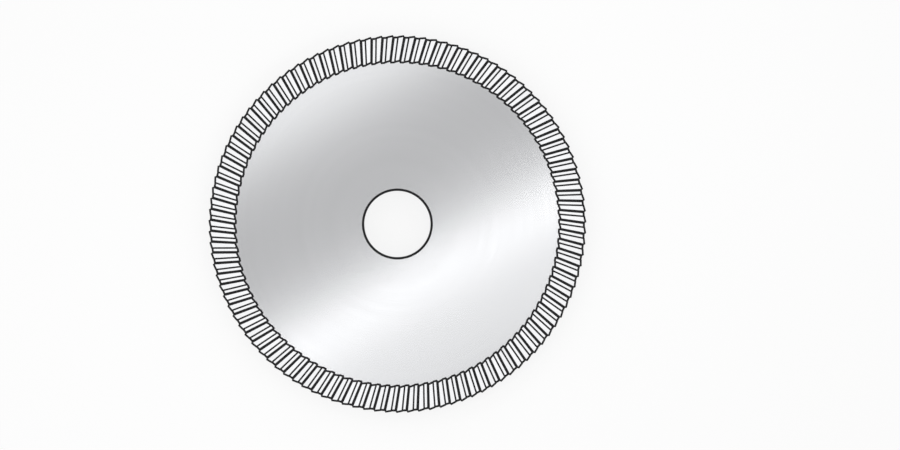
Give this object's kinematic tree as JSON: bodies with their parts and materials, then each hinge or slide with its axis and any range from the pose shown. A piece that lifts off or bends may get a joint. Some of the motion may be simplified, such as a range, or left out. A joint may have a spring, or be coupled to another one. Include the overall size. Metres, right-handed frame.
{
  "type": "key cutting wheel",
  "caption": "Flat steel cutting wheel with fine teeth over a double-bevelled edge and a plain central bore, for milling the cuts in key blanks.",
  "frame": {"origin": "centre of the bore in the plane of the lower side face, on which the wheel lies", "axes": "+Z along the bore axis through the wheel's thickness; +Y towards the top of the wheel as the picture shows it; seen from +Z the cutting faces look clockwise"},
  "size_m": [0.0634, 0.0634, 0.0063],
  "materials": {
    "tool_steel": "bright fine-ground side faces and tooth lands, with dark cutting faces and tooth roots"
  },
  "bodies": {
    "root": {"cutting_wheel": "tool_steel"}
  },
  "joints": []
}
